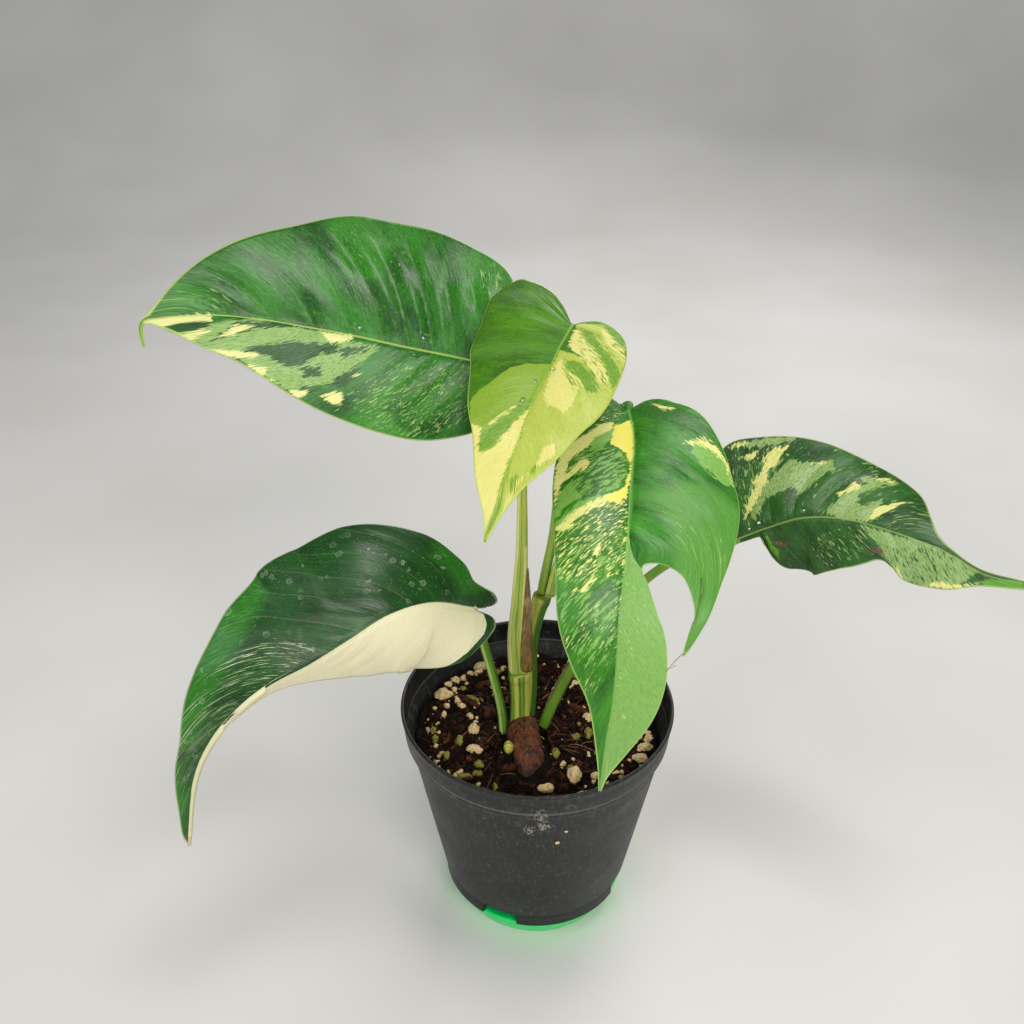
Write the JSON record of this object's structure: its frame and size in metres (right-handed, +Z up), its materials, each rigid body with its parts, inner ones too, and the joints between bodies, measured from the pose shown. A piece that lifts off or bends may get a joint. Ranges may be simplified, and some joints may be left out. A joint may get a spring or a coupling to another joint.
{
  "type": "potted variegated epipremnum pinnatum",
  "caption": "Young variegated climbing aroid with marbled, partly split leaves on arching petioles, growing in a round nursery pot on a low stand.",
  "frame": {"origin": "on the pot's axis, at the centre of the stand's flat underside", "axes": "+Z up along the pot's axis, +X to the right along the spread of the leaves, -Y toward the side that the front leaves hang over"},
  "size_m": [0.3376, 0.1377, 0.3063],
  "materials": {
    "stand_plastic": "satin",
    "pot_plastic": "matte",
    "potting_mix": "matte",
    "rhizome_bark": "matte",
    "bud_green": "satin",
    "stem_green": "satin",
    "dried_sheath": "matte",
    "leaf_upper_left": "satin",
    "leaf_centre": "satin",
    "leaf_front": "satin",
    "leaf_right": "satin",
    "leaf_lower_left": "satin"
  },
  "bodies": {
    "root": {"low_stand": "stand_plastic", "nursery_pot": "pot_plastic", "potting_soil": "potting_mix", "rhizome": "rhizome_bark", "rhizome_bud": "bud_green", "main_shoot": "stem_green", "second_shoot": "stem_green", "dried_sheath": "dried_sheath", "leaf_upper_left": "leaf_upper_left", "leaf_centre": "leaf_centre", "leaf_front": "leaf_front", "leaf_right": "leaf_right", "leaf_lower_left": "leaf_lower_left"}
  },
  "joints": []
}
